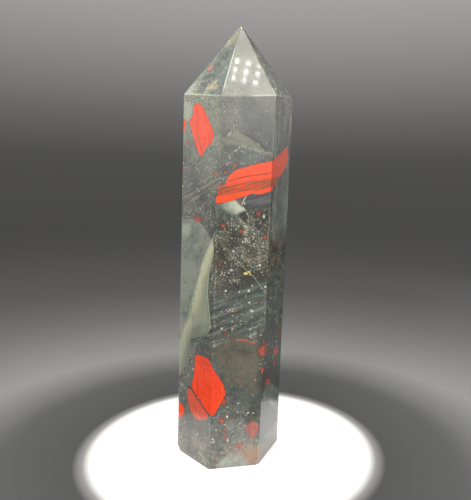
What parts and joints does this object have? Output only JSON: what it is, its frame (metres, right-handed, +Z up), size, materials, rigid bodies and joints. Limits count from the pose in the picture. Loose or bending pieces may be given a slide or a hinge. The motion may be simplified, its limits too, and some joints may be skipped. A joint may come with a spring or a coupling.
{
  "type": "dragon blood jasper tower",
  "caption": "Polished hexagonal column of dark green jasper with a faceted point, splashed with red fragments, pale green blades and fine cream specks, standing on its flat base.",
  "frame": {"origin": "middle of the bounding box, on the surface that the base stands on", "axes": "+Z up the tower to its point, -Y out of the front face side, +X to the right as seen from the front"},
  "size_m": [0.0522, 0.047, 0.2],
  "materials": {
    "jasper": "polished opaque stone, dark green-grey with red, pale green and cream fragments"
  },
  "bodies": {
    "root": {"jasper_tower": "jasper"}
  },
  "joints": []
}
